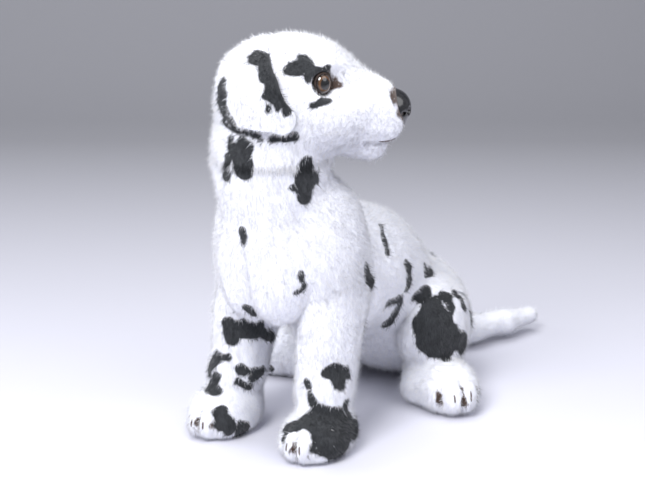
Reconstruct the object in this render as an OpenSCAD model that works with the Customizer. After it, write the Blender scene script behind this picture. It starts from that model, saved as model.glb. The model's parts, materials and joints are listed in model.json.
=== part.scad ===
// Sitting spotted plush dog, made as it is sewn: fur fabric skins over stuffing,
// pellets in the seat, and a head that turns on a plastic disc joint.
// Millimetres, +Z up. The origin is the middle of the flat seat. The dog's body
// faces -Y and its own left side is +X.

/* [Body] */
// Thickness of the fur fabric with its short pile
skin_t = 2.5; // [2:0.1:2.8]
// Radius of the rump
rump_r = 58; // [56:1:59]
// Height of the rump's middle, less than its radius so that the seat is flat
rump_z = 54; // [53:0.5:55]
// Radius of the chest end of the trunk
chest_r = 44; // [42:1:45]
// Distance of the chest's middle ahead of the seat
chest_fwd = 150; // [148:1:154]
// Height of the chest's middle
chest_z = 138; // [136:1:140]

/* [Neck joint] */
// Distance of the neck's upright axis ahead of the seat
neck_fwd = 180; // [178:1:182]
// Height of the plane where the head turns on the neck
neck_z = 208; // [207:0.5:209]
// Radius of the neck at that plane
neck_r = 38; // [36:0.5:38]
// Radius of the joint's stem
stem_r = 4; // [3.5:0.1:4.5]
// Radius of the joint's disc and washer
disc_r = 24; // [20:1:26]
// Turn of the head from straight ahead, towards the dog's left
head_turn = 123; // [-150:1:150]

/* [Head] */
// Radius of the back of the skull
skull_r = 40; // [39:0.5:40]
// Height of the skull's middle
skull_z = 254; // [253:0.5:255]
// Radius of the brow
brow_r = 28; // [27:0.5:28]
// Radius of the muzzle
muzzle_r = 24; // [23:0.5:24.5]
// Distance of the muzzle's round end from the neck axis
muzzle_fwd = 64; // [62:0.5:65]
// Radius of an eye's visible dome
eye_r = 7; // [6:0.1:7.2]
// Radius of the nose
nose_r = 12.5; // [11:0.5:13]

/* [Ears] */
// Thickness of each of an ear's two layers of fabric
ear_t = 2.2; // [1.8:0.1:2.4]
// Room between a hanging ear and the head
ear_gap = 0.9; // [0.8:0.1:1.2]
// Slope of the line where an ear is sewn on, above the skull's middle
ear_root_angle = 53; // [50:1:55]

/* [Front legs] */
// Distance of a front leg's middle from the mid plane
front_leg_x = 39.5; // [39.5:0.5:41]
// Width of a front leg at the shoulder
front_leg_w = 38; // [36:0.5:38]
// Radius of a front leg's round top, about the line it swings on
shoulder_r = 31; // [29:0.5:31]
// Distance of that line ahead of the seat
shoulder_fwd = 157; // [156:0.5:158]
// Height of that line
shoulder_z = 110; // [109:0.5:111]
// Radius of a front paw
front_paw_r = 24; // [22:0.5:24]

/* [Hind legs] */
// Distance from the mid plane to a thigh's flat inner side
thigh_in = 30.6; // [30.6:0.1:32]
// Distance from the mid plane to a thigh's round outer side
thigh_out = 74; // [70:1:76]
// Radius of a thigh, about the line it turns on
thigh_r = 36; // [34:0.5:37]
// Distance of that line ahead of the seat
hip_fwd = 38; // [37:0.5:39]
// Height of that line
hip_z = 53; // [52:0.5:54]
// Radius of a hind foot
hind_foot_r = 20; // [18:0.5:20.5]

/* [Tail] */
// Radius of the tail at its root
tail_r = 12; // [11:0.5:12]

/* [Hidden] */
$fn = 64;

far = 400;              // longer than anything in the dog
clear = 0.4;            // room between pieces that move past each other
fit_gap = 0.5;          // room between a skin and the stuffing in it
running = 0.06;         // room round the neck joint's stem in its washer
arc_steps = 8;          // flats along a round end
fill_in = skin_t + fit_gap;

rump_at = [0, -5, rump_z];
chest_at = [0, -chest_fwd, chest_z];
breast_r = 26;
breast_at = [14, -neck_fwd - 6, chest_z];
shoulder_at = [0, -shoulder_fwd, shoulder_z];
shoulder_bar_r = 30;
shoulder_bar_x = 26;
shoulder_bar_at = [0, -shoulder_fwd - 3, 158];
neck_base_z = 150;
neck_ball_r = neck_r + 2;

pellet_r = 36;
pellet_at = [0, -4, 43];
pellet_half_w = 26;
pouch_t = 1;

plate_t = 2.5;          // thickness of the joint's disc, washer and lock
lock_r = 9;
stem_low = 192;
disc_low = neck_z + clear + fill_in;
washer_high = neck_z - clear - fill_in;
lock_high = washer_high - plate_t - clear;

brow_fwd = 30;
brow_z = skull_z + 10;
skull_core_r = skull_r - 2;
muzzle_z = skull_z - 9;
muzzle_root = [0, 0, skull_z - 4];
jaw_fwd = muzzle_fwd - 2;
jaw_z = muzzle_z - 13;
jaw_r = muzzle_r - 0.4;
jaw_root = [0, -20, jaw_z + 6];
jaw_root_r = muzzle_r + 2;

eye_yaw = 14;
eye_pitch = -4;
shank_gap = 0.1;        // room round an eye's or the nose's shank in the fabric
eye_seat = brow_r - 1.2;
eye_dome_h = 5;
eye_shank_r = 1.5;
eye_shank_low = 16;
eye_washer_r = 5.5;
eye_washer_t = 1.5;
eye_washer_top = brow_r - skin_t - 1.1;

nose_seat = muzzle_fwd + muzzle_r - 1.4;
nose_room = 1;
nose_foot_r = 7.6;
nose_lip = 1.5;
nose_len = 11;
nose_shank_r = 2.5;
nose_shank_low = nose_seat - 11;
nose_washer_r = 7;
nose_washer_t = 1.5;
nose_washer_high = nose_seat - 2.8;

thread_r = 0.9;
mouth_z = jaw_z - 12;
mouth_sweep = 150;

ear_low = 200;
ear_in_r = skull_r + ear_gap;
layer_gap = 0.1;
ear_mid_r = ear_in_r + ear_t + layer_gap;
ear_out_r = ear_mid_r + ear_t;
// Side view of an ear, as distance behind the neck axis and height above the skull's middle
ear_outline = [
    [-3, 50], [19, 50], [29, 16], [34, -4], [33, -19], [25, -28],
    [10, -32], [-4, -30], [-11, -21], [-13, -8], [-9, 14],
];

toe_taper = 0.5;        // how much less a foot's radius is at its toes
toe_low = 8;            // angle below the level where a toe stitch starts
toe_sweep = 40;
toe_sunk = 0.3;

leg_in = front_leg_x - front_leg_w / 2;
wrist_at = [front_leg_x + 1.5, -178, 42];
wrist_r = 17;
paw_x = front_leg_x + 2.5;
paw_z = 8;
paw_heel_y = -183;
paw_toe_y = -200;
leg_pocket_top = shoulder_z + 18;
leg_pocket_back = -shoulder_fwd + shoulder_r + 3;

thigh_round_x = 48;
hip_at = [0, -hip_fwd, hip_z];
foot_heel = [48, -34, 12];
foot_toe = [80, -59, 12];
hip_pocket_front = -110;
hip_pocket_back = -4;

tail_root = [8, 52.6, 14];
tail_bend = [36, 104, 11];
tail_bend_r = 10.4;
tail_tip_root_r = 10;
tail_tip = [50, 145, 9];
tail_tip_r = 8.4;

WHITE_FUR = "whitesmoke";
LINING = "gainsboro";
FILLING = "ivory";

// ---- shapes that several pieces share ----

// Points of an arc about [0, rise], from angle a to angle b above the level
function arc_points(r, rise, a, b) = [
    for (i = [0 : arc_steps])
        let (t = a + (b - a) * i / arc_steps)
            [abs(t) == 90 ? 0 : r * cos(t), rise + r * sin(t)]
];

// Points of a quarter of an ellipse, from [r, rise] to the axis at height rise + h
function quarter_round(r, rise, h) = [
    for (i = [0 : 2 * arc_steps])
        let (t = 45 * i / arc_steps)
            [t == 90 ? 0 : r * cos(t), rise + h * sin(t)]
];

// A round bar from p to q with ball ends of radius rp and rq
module tapered_bar(p, rp, q, rq) {
    d = q - p;
    len = norm(d);
    tangent = asin((rp - rq) / len);
    translate(p)
        rotate([0, acos(d[2] / len), atan2(d[1], d[0])])
            rotate_extrude()
                polygon(concat(
                    arc_points(rp, 0, -90, tangent),
                    arc_points(rq, len, tangent, 90)
                ));
}

// Everything below height z, or beyond x on the dog's left
module below(z) {
    translate([-far, -far, z - far])
        cube([2 * far, 2 * far, far]);
}

module left_of(x) {
    translate([x, -far, -far])
        cube([far, 2 * far, 2 * far]);
}

// A round bar along X from x = a to x = b through the point at
module cross_bar(at, a, b, r) {
    translate([a, at[1], at[2]])
        rotate([0, 90, 0])
            cylinder(h = b - a, r = r);
}

module both_sides() {
    children();
    mirror([1, 0, 0])
        children();
}

// ---- body ----

module torso_form(inset) {
    difference() {
        union() {
            tapered_bar(chest_at, chest_r - inset, rump_at, rump_r - inset);
            neck_column(inset);
            both_sides()
                translate(breast_at)
                    sphere(r = breast_r - inset);
            shoulder_bar(inset);
        }
        below(inset);
        both_sides()
            leg_room(inset);
    }
}

// The neck is a column on a ball in the chest, with the flat top that the head turns on
module neck_column(inset) {
    translate([0, -neck_fwd, neck_base_z]) {
        cylinder(h = neck_z - clear - inset - neck_base_z, r = neck_r - inset);
        sphere(r = neck_ball_r - inset);
    }
}

module shoulder_bar(inset) {
    tapered_bar(
        shoulder_bar_at - [shoulder_bar_x, 0, 0], shoulder_bar_r - inset,
        shoulder_bar_at + [shoulder_bar_x, 0, 0], shoulder_bar_r - inset
    );
}

// Room for the left front and hind legs over their whole swing
module leg_room(inset) {
    leg_side = leg_in - clear - inset;
    hip_side = thigh_in - clear - inset;
    cross_bar(shoulder_at, leg_side, far, shoulder_r + clear + inset);
    translate([leg_side, -far, -far])
        cube([far, far + leg_pocket_back + inset, far + leg_pocket_top + inset]);
    cross_bar(hip_at, hip_side, far, thigh_r + 2 * clear + inset);
    translate([hip_side, hip_pocket_front - inset, -far])
        cube([far, hip_pocket_back - hip_pocket_front + 2 * inset, far + hip_z]);
}

module torso_skin() {
    color(WHITE_FUR)
        difference() {
            torso_form(0);
            torso_form(skin_t);
            translate([0, -neck_fwd, neck_base_z])
                cylinder(h = far, r = stem_r + clear);
        }
}

module torso_stuffing() {
    color(FILLING)
        difference() {
            torso_form(fill_in);
            pellet_form(-fit_gap);
            neck_pocket();
        }
}

// Space in the neck's stuffing for the washer, the lock and the stem
module neck_pocket() {
    translate([0, -neck_fwd, stem_low - 1])
        cylinder(h = far, r = stem_r + clear);
    translate([0, -neck_fwd, lock_high - plate_t - clear])
        cylinder(h = far, r = disc_r + fit_gap);
}

// A ball of pellets between two flat sides
module pellet_form(inset) {
    r = pellet_r - inset;
    half_w = pellet_half_w - inset;
    bulge = asin(half_w / r);
    translate(pellet_at - [half_w, 0, 0])
        rotate([0, 90, 0])
            rotate_extrude()
                polygon(concat(
                    [[0, 0]],
                    arc_points(r, half_w, -bulge, bulge),
                    [[0, 2 * half_w]]
                ));
}

module pellet_pouch() {
    color(LINING)
        difference() {
            pellet_form(0);
            pellet_form(pouch_t);
        }
}

module pellet_fill() {
    color("silver")
        pellet_form(pouch_t + 0.2);
}

// ---- neck joint ----

module joint_plate(high, r, bore) {
    translate([0, -neck_fwd, high - plate_t])
        difference() {
            cylinder(h = plate_t, r = r);
            translate([0, 0, -1])
                cylinder(h = plate_t + 2, r = bore);
        }
}

module neck_disc() {
    color("white") {
        translate([0, -neck_fwd, disc_low])
            cylinder(h = plate_t, r = disc_r);
        translate([0, -neck_fwd, stem_low])
            cylinder(h = disc_low - stem_low + 1, r = stem_r);
    }
}

module neck_washer() {
    color("white")
        joint_plate(washer_high, disc_r, stem_r + running);
}

module neck_lock() {
    color("dimgray")
        joint_plate(lock_high, lock_r, stem_r);
}

// ---- head, drawn facing straight ahead about the neck axis ----

module turned_head() {
    translate([0, -neck_fwd, 0])
        rotate([0, 0, head_turn])
            children();
}

module head_form(inset) {
    translate([0, 0, skull_z])
        sphere(r = skull_r - inset);
    tapered_bar([0, 0, skull_z], skull_core_r - inset, [0, -brow_fwd, brow_z], brow_r - inset);
    tapered_bar(muzzle_root, skull_core_r - inset, [0, -muzzle_fwd, muzzle_z], muzzle_r - inset);
    tapered_bar(jaw_root, jaw_root_r - inset, [0, -jaw_fwd, jaw_z], jaw_r - inset);
    translate([0, 0, neck_z + clear + inset])
        cylinder(h = skull_z - neck_z - clear - inset, r = neck_r - inset);
}

// Turns +Z to look out of the left eye socket
module left_eye_frame() {
    translate([0, -brow_fwd, brow_z])
        rotate([0, 0, -eye_yaw])
            rotate([0, 90 - eye_pitch, 0])
                children();
}

// Turns +Z to look out of the muzzle
module nose_frame() {
    translate([0, 0, muzzle_z])
        rotate([90, 0, 0])
            children();
}

module head_skin() {
    color(WHITE_FUR)
        turned_head()
            difference() {
                head_form(0);
                head_form(skin_t);
                both_sides()
                    left_eye_frame()
                        eye_room(eye_shank_r + shank_gap, eye_seat);
                nose_frame() {
                    translate([0, 0, nose_seat])
                        cylinder(h = far, r = nose_r + nose_room);
                    cylinder(h = far, r = nose_shank_r + shank_gap);
                }
                cylinder(h = skull_z, r = stem_r + clear);
            }
}

module eye_room(hole_r, seat) {
    translate([0, 0, seat])
        cylinder(h = far, r = eye_r + fit_gap);
    translate([0, 0, eye_shank_low - 1])
        cylinder(h = seat - eye_shank_low + 2, r = hole_r);
}

module head_stuffing() {
    color(FILLING)
        turned_head()
            difference() {
                head_form(fill_in);
                both_sides()
                    left_eye_frame()
                        eye_room(eye_washer_r + fit_gap, eye_washer_top - fit_gap);
                nose_frame()
                    translate([0, 0, nose_shank_low - 1])
                        cylinder(h = far, r = nose_washer_r + fit_gap);
                translate([0, 0, neck_z])
                    cylinder(h = disc_low + plate_t + fit_gap - neck_z, r = disc_r + fit_gap);
            }
}

// A dome of radius r and height h on a flat foot, with a rim that turns back by lip
module dome(r, h, foot_r, lip) {
    rim_h = 0.12 * h;
    rotate_extrude()
        polygon(concat(
            [[0, 0], [foot_r, 0], [r, -lip]],
            quarter_round(r, rim_h, h - rim_h)
        ));
}

module left_eye_form() {
    turned_head()
        left_eye_frame() {
            translate([0, 0, eye_seat])
                dome(eye_r, eye_dome_h, eye_r - 0.5, 0);
            translate([0, 0, eye_shank_low])
                cylinder(h = eye_seat - eye_shank_low + 1, r = eye_shank_r);
        }
}

module ring_washer(high, thick, r, bore) {
    translate([0, 0, high - thick])
        difference() {
            cylinder(h = thick, r = r);
            translate([0, 0, -1])
                cylinder(h = thick + 2, r = bore);
        }
}

// The same piece on the other side of a turned head
module other_side_of_head() {
    turned_head()
        mirror([1, 0, 0])
            rotate([0, 0, -head_turn])
                translate([0, neck_fwd, 0])
                    children();
}

module eye_left() {
    color("saddlebrown")
        left_eye_form();
}

module eye_right() {
    color("saddlebrown")
        other_side_of_head()
            left_eye_form();
}

module left_eye_washer_form() {
    turned_head()
        left_eye_frame()
            ring_washer(eye_washer_top, eye_washer_t, eye_washer_r, eye_shank_r);
}

module eye_washer_left() {
    color("white")
        left_eye_washer_form();
}

module eye_washer_right() {
    color("white")
        other_side_of_head()
            left_eye_washer_form();
}

module nose() {
    color("black")
        turned_head()
            nose_frame() {
                translate([0, 0, nose_seat])
                    dome(nose_r, nose_len, nose_foot_r, nose_lip);
                translate([0, 0, nose_shank_low])
                    cylinder(h = nose_seat - nose_shank_low + 1, r = nose_shank_r);
            }
}

module nose_washer() {
    color("white")
        turned_head()
            nose_frame()
                ring_washer(nose_washer_high, nose_washer_t, nose_washer_r, nose_shank_r);
}

module mouth_thread() {
    lip_r = sqrt(pow(jaw_r, 2) - pow(jaw_z - mouth_z, 2));
    color("saddlebrown")
        turned_head()
            translate([0, -jaw_fwd, mouth_z])
                rotate([0, 0, -90 - mouth_sweep / 2])
                    rotate_extrude(angle = mouth_sweep)
                        translate([lip_r, 0])
                            circle(r = thread_r, $fn = 16);
}

// ---- ears ----

// A column with a domed top, which an ear's layer is cut from
module domed_column(r) {
    rotate_extrude()
        polygon(concat(
            [[0, ear_low], [r, ear_low]],
            quarter_round(r, skull_z, r)
        ));
}

module left_ear_layer(r_in, r_out) {
    turned_head()
        intersection() {
            difference() {
                domed_column(r_out);
                domed_column(r_in);
            }
            translate([0, 0, skull_z])
                rotate([90, 0, 90])
                    linear_extrude(height = far)
                        polygon(ear_outline);
            translate([0, 0, skull_z])
                rotate([0, -ear_root_angle, 0])
                    translate([0, -far / 2, -far])
                        cube([far, far, far]);
        }
}

module ear_left_outer() {
    color(WHITE_FUR)
        left_ear_layer(ear_mid_r, ear_out_r);
}

module ear_left_lining() {
    color(LINING)
        left_ear_layer(ear_in_r, ear_mid_r - layer_gap);
}

module ear_right_outer() {
    color(WHITE_FUR)
        other_side_of_head()
            left_ear_layer(ear_mid_r, ear_out_r);
}

module ear_right_lining() {
    color(LINING)
        other_side_of_head()
            left_ear_layer(ear_in_r, ear_mid_r - layer_gap);
}

// ---- front legs ----

module left_front_leg_form(inset) {
    hull() {
        translate([leg_in + inset, shoulder_at[1], shoulder_at[2]])
            rotate([0, 90, 0])
                cylinder(h = front_leg_w - 2 * inset, r = shoulder_r - inset, $fn = 48);
        translate(wrist_at)
            sphere(r = wrist_r - inset, $fn = 24);
    }
    difference() {
        tapered_bar(
            [paw_x, paw_heel_y, paw_z], front_paw_r - inset,
            [paw_x, paw_toe_y, paw_z], front_paw_r - inset - toe_taper
        );
        below(inset);
    }
}

module left_front_leg_skin() {
    color(WHITE_FUR)
        difference() {
            left_front_leg_form(0);
            left_front_leg_form(skin_t);
        }
}

module left_front_leg_stuffing() {
    color(FILLING)
        left_front_leg_form(fill_in);
}

// Stitches between a paw's toes: arcs over a round end of radius r, looking along -Y
module toe_stitches(r) {
    for (x = [-r / 3, 0, r / 3])
        translate([x, 0, 0])
            rotate([0, 90, 0])
                rotate([0, 0, 180 + toe_low])
                    rotate_extrude(angle = toe_sweep)
                        translate([sqrt(r * r - x * x) - toe_sunk, 0])
                            circle(r = thread_r, $fn = 16);
}

module left_front_toes() {
    color("saddlebrown")
        translate([paw_x, paw_toe_y, paw_z])
            toe_stitches(front_paw_r - toe_taper);
}

module front_leg_left_skin() { left_front_leg_skin(); }
module front_leg_left_stuffing() { left_front_leg_stuffing(); }
module front_toes_left() { left_front_toes(); }
module front_leg_right_skin() { mirror([1, 0, 0]) left_front_leg_skin(); }
module front_leg_right_stuffing() { mirror([1, 0, 0]) left_front_leg_stuffing(); }
module front_toes_right() { mirror([1, 0, 0]) left_front_toes(); }

// ---- hind legs ----

module thigh_form(inset) {
    depth = thigh_out - thigh_round_x - inset;
    translate([thigh_in + inset, hip_at[1], hip_at[2]])
        rotate([0, 90, 0])
            rotate_extrude()
                polygon(concat(
                    [[0, 0], [thigh_r - inset, 0]],
                    quarter_round(thigh_r - inset, thigh_round_x - thigh_in - inset, depth)
                ));
}

module left_hind_leg_form(inset) {
    thigh_form(inset);
    intersection() {
        difference() {
            tapered_bar(foot_heel, hind_foot_r - inset, foot_toe, hind_foot_r - inset - toe_taper);
            below(inset);
        }
        left_of(thigh_in + inset);
    }
}

module left_hind_leg_skin() {
    color(WHITE_FUR)
        difference() {
            left_hind_leg_form(0);
            left_hind_leg_form(skin_t);
        }
}

module left_hind_leg_stuffing() {
    color(FILLING)
        left_hind_leg_form(fill_in);
}

module left_hind_toes() {
    along = foot_toe - foot_heel;
    color("saddlebrown")
        translate(foot_toe)
            rotate([0, 0, atan2(along[1], along[0]) + 90])
                toe_stitches(hind_foot_r - toe_taper);
}

module hind_leg_left_skin() { left_hind_leg_skin(); }
module hind_leg_left_stuffing() { left_hind_leg_stuffing(); }
module hind_toes_left() { left_hind_toes(); }
module hind_leg_right_skin() { mirror([1, 0, 0]) left_hind_leg_skin(); }
module hind_leg_right_stuffing() { mirror([1, 0, 0]) left_hind_leg_stuffing(); }
module hind_toes_right() { mirror([1, 0, 0]) left_hind_toes(); }

// ---- tail ----

module tail_form(inset) {
    tapered_bar(tail_root, tail_r - inset, tail_bend, tail_bend_r - inset);
    tapered_bar(tail_bend, tail_tip_root_r - inset, tail_tip, tail_tip_r - inset);
}

module tail_skin() {
    color(WHITE_FUR)
        difference() {
            tail_form(0);
            tail_form(skin_t);
        }
}

module tail_stuffing() {
    color(FILLING)
        tail_form(fill_in);
}

torso_skin();
torso_stuffing();
pellet_pouch();
pellet_fill();
neck_washer();
head_skin();
head_stuffing();
neck_disc();
neck_lock();
eye_left();
eye_right();
eye_washer_left();
eye_washer_right();
nose();
nose_washer();
mouth_thread();
ear_left_outer();
ear_left_lining();
ear_right_outer();
ear_right_lining();
front_leg_left_skin();
front_leg_left_stuffing();
front_toes_left();
front_leg_right_skin();
front_leg_right_stuffing();
front_toes_right();
hind_leg_left_skin();
hind_leg_left_stuffing();
hind_toes_left();
hind_leg_right_skin();
hind_leg_right_stuffing();
hind_toes_right();
tail_skin();
tail_stuffing();
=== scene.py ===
"""Looks for a sitting spotted plush dog: stuffed fur fabric, ears, glass eyes and a moulded nose.

Every soft form is a field, a function that is negative inside the form. Its zero surface is meshed
here, so each piece is a closed skin, and strands of pile are then planted on it. Fields work in
millimetres, in the CAD frame, or for the head in a frame that faces straight ahead.
"""

import functools
import json
import math

import bpy
import numpy as np
from mathutils import Matrix, Vector


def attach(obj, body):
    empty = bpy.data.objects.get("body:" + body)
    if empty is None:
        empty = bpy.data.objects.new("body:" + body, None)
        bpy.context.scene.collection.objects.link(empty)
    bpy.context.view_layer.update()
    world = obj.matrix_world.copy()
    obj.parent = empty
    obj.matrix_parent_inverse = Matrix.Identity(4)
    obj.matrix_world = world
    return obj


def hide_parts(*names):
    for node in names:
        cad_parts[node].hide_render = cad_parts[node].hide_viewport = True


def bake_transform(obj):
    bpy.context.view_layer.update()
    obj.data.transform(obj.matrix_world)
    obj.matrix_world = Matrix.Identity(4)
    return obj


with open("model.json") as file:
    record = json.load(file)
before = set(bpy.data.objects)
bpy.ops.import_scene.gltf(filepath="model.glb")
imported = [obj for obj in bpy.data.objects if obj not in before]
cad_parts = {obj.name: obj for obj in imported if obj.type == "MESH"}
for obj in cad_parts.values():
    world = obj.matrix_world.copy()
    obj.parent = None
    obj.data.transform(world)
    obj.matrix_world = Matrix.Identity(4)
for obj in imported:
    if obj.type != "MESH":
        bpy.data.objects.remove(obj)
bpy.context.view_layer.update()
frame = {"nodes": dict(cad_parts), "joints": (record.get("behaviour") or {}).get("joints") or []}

MM = 0.001
JOINTS = {j["name"]: j for j in frame["joints"]}
NODES = frame["nodes"]


def pivot(joint):
    """Where a joint is, in millimetres."""
    return np.array(JOINTS[joint]["pos_m"], float) / MM


NECK = pivot("neck_turn")
SHOULDER = pivot("front_leg_left_swing")
HIP = pivot("hind_leg_left_turn")
TAIL = pivot("tail_wag")
FACING = np.array(JOINTS["ear_left_lift"]["axis"], float)
SKULL_Z = NECK[2] + 46
FLOOR = 0.4


# ---- the head's own frame: it faces -Y about the neck axis ----

HEAD_TURN = math.atan2(FACING[0], -FACING[1])


def turned(v, angle):
    """Vectors turned about Z."""
    c, s = math.cos(angle), math.sin(angle)
    return np.column_stack([v[:, 0] * c - v[:, 1] * s, v[:, 0] * s + v[:, 1] * c, v[:, 2]])


def head_place(p):
    """From the head's frame to the CAD frame."""
    return turned(p, HEAD_TURN) + [NECK[0], NECK[1], 0]


def head_lean(v):
    """Directions from the head's frame to the CAD frame."""
    return turned(v, HEAD_TURN)


def same(v):
    return v


# ---- fields ----

def size_of(v):
    return np.sqrt((v * v).sum(-1))


def unit(v):
    return v / np.maximum(size_of(v), 1e-9)[:, None]


def ball(p, at, r):
    return size_of(p - np.array(at, float)) - r


def blob(p, at, radii, turn=0, rise=0):
    """An egg-shaped form. turn is about Z, and rise lifts its -Y end, both in degrees."""
    q = p - np.array(at, float)
    if turn:
        q = turned(q, -math.radians(turn))
    if rise:
        c, s = math.cos(math.radians(rise)), math.sin(math.radians(rise))
        q = np.column_stack([q[:, 0], q[:, 1] * c - q[:, 2] * s, q[:, 1] * s + q[:, 2] * c])
    q = q / np.array(radii, float)
    near = size_of(q)
    return near * (near - 1) / np.maximum(size_of(q / np.array(radii, float)), 1e-9)


def bar(p, a, ra, b, rb):
    """A round bar with ball ends of radius ra and rb."""
    a, b = np.array(a, float), np.array(b, float)
    along = b - a
    t = np.clip((p - a) @ along / (along @ along), 0, 1)
    return size_of(p - a - t[:, None] * along) - (ra + t * (rb - ra))


def join(soft, *fields):
    """The forms grown together, with a fillet of about soft millimetres."""
    out = fields[0]
    for f in fields[1:]:
        h = np.clip(0.5 + 0.5 * (f - out) / soft, 0, 1)
        out = f * (1 - h) + out * h - soft * h * (1 - h)
    return out


def cut(soft, *fields):
    """What the forms have in common, with edges rounded by about soft millimetres."""
    return -join(soft, *[-f for f in fields])


WAVES = 8


@functools.lru_cache(maxsize=None)
def waves(size, seed):
    """Random directions and phases of waves about size millimetres long."""
    rng = np.random.default_rng(seed)
    k = rng.normal(size=(3, WAVES))
    k *= math.tau / size * rng.uniform(0.6, 1.3, WAVES) / np.sqrt((k * k).sum(0))
    return k, rng.uniform(0, math.tau, WAVES)


def wobble(p, size, seed):
    """A smooth value between about -1 and 1 that changes over size millimetres."""
    k, phase = waves(size, seed)
    return np.sin(p @ k + phase).sum(1) / math.sqrt(2 * WAVES)


def ridge(distance, width):
    """1 on a seam, and 0 a few widths away from it."""
    return np.exp(-(distance / width) ** 2)


def gate(value, low, high, soft=4):
    """1 where value is between low and high, and 0 outside, with soft ends."""
    rise = 1 / (1 + np.exp(-np.clip((value - low) / soft * 4, -30, 30)))
    fall = 1 / (1 + np.exp(-np.clip((high - value) / soft * 4, -30, 30)))
    return rise * fall


def line_distance(a, b, points):
    """Distance from (a, b) to a bent line in that plane."""
    p = np.column_stack([a, b, 0 * a])
    stretches = zip(points, points[1:])
    return np.min([bar(p, (*start, 0), 0, (*end, 0), 0) for start, end in stretches], axis=0)


def mirrored(p):
    return p * np.array([-1.0, 1.0, 1.0])


FLIPS = {"left": same, "right": mirrored}


def sided(form, side):
    """A form that is made on the left, on the given side."""
    return lambda p: form(FLIPS[side](p))


def folded(p):
    """Both sides on the left one."""
    return np.column_stack([np.abs(p[:, 0]), p[:, 1], p[:, 2]])


# ---- from a field to a mesh ----

def slope(field, p, step=0.4):
    """The direction in which a field grows at each point."""
    out = np.zeros_like(p)
    for k in range(3):
        d = np.zeros(3)
        d[k] = step
        out[:, k] = field(p + d) - field(p - d)
    return out / (2 * step)


def surface(field, low, high, step):
    """Points and four-sided faces of the closed surface where field is zero."""
    low, high = np.array(low, float), np.array(high, float)
    n = np.ceil((high - low) / step).astype(int) + 1
    axes = [low[k] + step * np.arange(n[k]) for k in range(3)]
    value = np.empty(n)
    for i, x in enumerate(axes[0]):
        y, z = np.meshgrid(axes[1], axes[2], indexing="ij")
        layer = np.column_stack([np.full(y.size, x), y.ravel(), z.ravel()])
        value[i] = field(layer).reshape(y.shape)
    cells = n - 1
    total = np.zeros((*cells, 3))
    hits = np.zeros(cells)

    def corner(at):
        return value[tuple(slice(at[k], at[k] + cells[k]) for k in range(3))]

    for axis in range(3):
        for one in (0, 1):
            for two in (0, 1):
                at = [0, 0, 0]
                at[(axis + 1) % 3], at[(axis + 2) % 3] = one, two
                a = corner(at)
                past = list(at)
                past[axis] = 1
                b = corner(past)
                crossed = (a < 0) != (b < 0)
                t = np.where(crossed, a / np.where(crossed, a - b, 1), 0)
                hits += crossed
                for k in range(3):
                    total[..., k] += t if k == axis else crossed * at[k]
    used = hits > 0
    index = np.full(cells, -1)
    index[used] = np.arange(used.sum())
    place = np.stack(np.meshgrid(*[np.arange(c) for c in cells], indexing="ij"), -1)[used]
    points = low + step * (place + total[used] / hits[used][:, None])

    faces = []
    for axis in range(3):
        b_axis, c_axis = (axis + 1) % 3, (axis + 2) % 3
        lower = np.take(value, range(n[axis] - 1), axis)
        upper = np.take(value, range(1, n[axis]), axis)
        crossed = np.argwhere((lower < 0) != (upper < 0))
        inner = (crossed[:, b_axis] > 0) & (crossed[:, c_axis] > 0)
        inner &= (crossed[:, b_axis] < n[b_axis] - 1) & (crossed[:, c_axis] < n[c_axis] - 1)
        crossed = crossed[inner]
        ring = []
        for back_b, back_c in ((1, 1), (0, 1), (0, 0), (1, 0)):
            cell = crossed.copy()
            cell[:, b_axis] -= back_b
            cell[:, c_axis] -= back_c
            ring.append(index[tuple(cell.T)])
        ring = np.column_stack(ring)
        outward = lower[tuple(crossed.T)] < 0
        ring[~outward] = ring[~outward][:, ::-1]
        faces.append(ring)
    faces = np.concatenate(faces)
    for _ in range(2):
        g = slope(field, points)
        move = field(points) / np.maximum((g * g).sum(1), 0.2)
        points = points - np.clip(move, -step / 2, step / 2)[:, None] * g
    return points, faces


def make_mesh(name, points, faces, place=same, materials=(), slots=None):
    """A Blender object from points in millimetres. faces is one array, all faces alike."""
    mesh = bpy.data.meshes.new(name)
    points = place(points) * MM
    sides = faces.shape[1]
    mesh.vertices.add(len(points))
    mesh.vertices.foreach_set("co", points.astype(np.float32).ravel())
    mesh.loops.add(faces.size)
    mesh.loops.foreach_set("vertex_index", faces.astype(np.int32).ravel())
    mesh.polygons.add(len(faces))
    mesh.polygons.foreach_set("loop_start", np.arange(0, faces.size, sides, dtype=np.int32))
    mesh.polygons.foreach_set("use_smooth", np.ones(len(faces), bool))
    for material in materials:
        mesh.materials.append(material)
    if slots is not None:
        mesh.polygons.foreach_set("material_index", slots.astype(np.int32))
    mesh.update(calc_edges=True)
    return in_scene(mesh)


def in_scene(data):
    """An object that shows a mesh, a camera or a light, under the same name."""
    item = bpy.data.objects.new(data.name, data)
    bpy.context.scene.collection.objects.link(item)
    return item


def smooth_piece(name, points, faces, material):
    """A smooth object from points in metres and faces of any length."""
    mesh = bpy.data.meshes.new(name)
    mesh.from_pydata(points, [], faces)
    mesh.polygons.foreach_set("use_smooth", np.ones(len(mesh.polygons), bool))
    mesh.materials.append(material)
    return in_scene(mesh)


def add_values(piece, name, values):
    attribute = piece.data.attributes.new(name, "FLOAT", "POINT")
    attribute.data.foreach_set("value", values.astype(np.float32))


def on_surface(field, points, steps=12):
    """Points moved onto a form's surface."""
    p = np.array(points, float)
    for _ in range(steps):
        g = slope(field, p)
        p = p - (field(p) / np.maximum((g * g).sum(1), 0.2))[:, None] * g
    return p


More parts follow.
